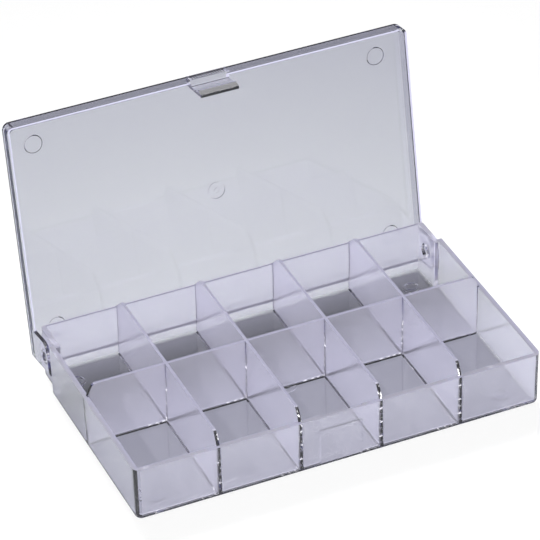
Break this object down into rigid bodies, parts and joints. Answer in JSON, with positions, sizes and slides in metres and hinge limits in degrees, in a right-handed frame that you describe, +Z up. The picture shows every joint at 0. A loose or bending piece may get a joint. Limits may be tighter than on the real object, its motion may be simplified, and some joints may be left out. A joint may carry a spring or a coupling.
{
  "type": "organizer box",
  "caption": "Clear plastic organizer box with moulded compartments under a single hinged snap lid, for beads and small craft parts, stored with its lid open",
  "frame": {"origin": "centre of the tray's flat underside, inside its feet", "axes": "+X along the front edge, to the right; +Y to the rear, where the hinge is; +Z up"},
  "size_m": [0.168, 0.125, 0.1058],
  "materials": {
    "tray": "clear polished",
    "lid": "clear polished"
  },
  "bodies": {
    "tray": {"tray": "tray"},
    "lid": {"lid": "lid"}
  },
  "joints": [
    {"name": "lid_hinge", "type": "hinge", "parent": "tray", "child": "lid", "pos_m": [0, 0.0426, 0.0142], "axis": [1, 0, 0], "range_deg": [0, 99.93]}
  ]
}
